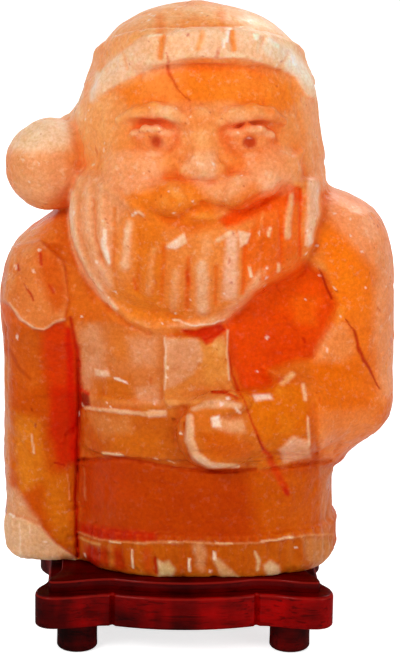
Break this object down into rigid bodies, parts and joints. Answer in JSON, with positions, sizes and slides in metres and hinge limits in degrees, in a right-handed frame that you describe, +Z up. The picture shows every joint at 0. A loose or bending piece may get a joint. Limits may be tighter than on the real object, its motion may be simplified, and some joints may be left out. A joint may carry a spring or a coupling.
{
  "type": "salt crystal lamp",
  "caption": "Table lamp: a bearded winter figure carved from translucent rock salt, lit from inside by a small bulb, on a low lacquered wooden stand with a serpentine edge.",
  "frame": {"origin": "on the surface that the lamp stands on, under the middle of its width and depth", "axes": "+Z up, -Y the figure's front, +X the viewer's right; the stand, bore and bulb share an upright axis 4.75 mm to the viewer's left of the origin"},
  "size_m": [0.1327, 0.0755, 0.2156],
  "materials": {
    "rock_salt": "translucent hand-carved rock salt",
    "stand_wood": "lacquered dark red-brown",
    "foot_wood": "lacquered, nearly black",
    "screw_steel": "plated",
    "anchor_plastic": "moulded",
    "holder_plastic": "moulded, satin",
    "core_ceramic": "unglazed",
    "contact_brass": "bright",
    "spring_steel": "tempered",
    "cap_metal": "bright",
    "cap_insulator": "black glassy",
    "bulb_glass": "clear",
    "lead_wire": "drawn wire",
    "filament_wire": "coiled wire"
  },
  "bodies": {
    "base": {"salt_figure": "rock_salt", "stand_slab": "stand_wood", "stand_tier": "stand_wood", "foot_front_left": "foot_wood", "foot_front_right": "foot_wood", "foot_back_left": "foot_wood", "foot_back_right": "foot_wood", "foot_screws": "screw_steel", "salt_screws": "screw_steel", "salt_anchors": "anchor_plastic"},
    "light_unit": {"holder_cap": "holder_plastic", "holder_shell": "holder_plastic", "holder_ring": "holder_plastic", "holder_core": "core_ceramic", "terminal_screws": "screw_steel", "screw_liner": "contact_brass", "centre_contact": "contact_brass", "side_contact": "contact_brass", "spring_clip": "spring_steel"},
    "bulb_lift": {"bulb_contact_tip": "cap_metal"},
    "bulb": {"bulb_insulator": "cap_insulator", "bulb_cap_shell": "cap_metal", "bulb_glass": "bulb_glass", "bulb_stem": "bulb_glass", "bulb_lead_wires": "lead_wire", "bulb_filament": "filament_wire"}
  },
  "joints": [
    {"name": "light_unit_withdraw", "type": "slide", "parent": "base", "child": "light_unit", "axis": [0, 0, -1], "range_m": [0, 0.105]},
    {"name": "bulb_rise", "type": "slide", "parent": "light_unit", "child": "bulb_lift", "axis": [0, 0, 1], "range_m": [0, 0.0127]},
    {"name": "bulb_turn", "type": "hinge", "parent": "bulb_lift", "child": "bulb", "pos_m": [-0.00475, 0, 0.05], "axis": [0, 0, 1], "range_deg": [0, 1620]}
  ],
  "couplings": [
    {"joint": "bulb_rise", "follows": "bulb_turn", "m_per_rad": 0.00044882}
  ]
}
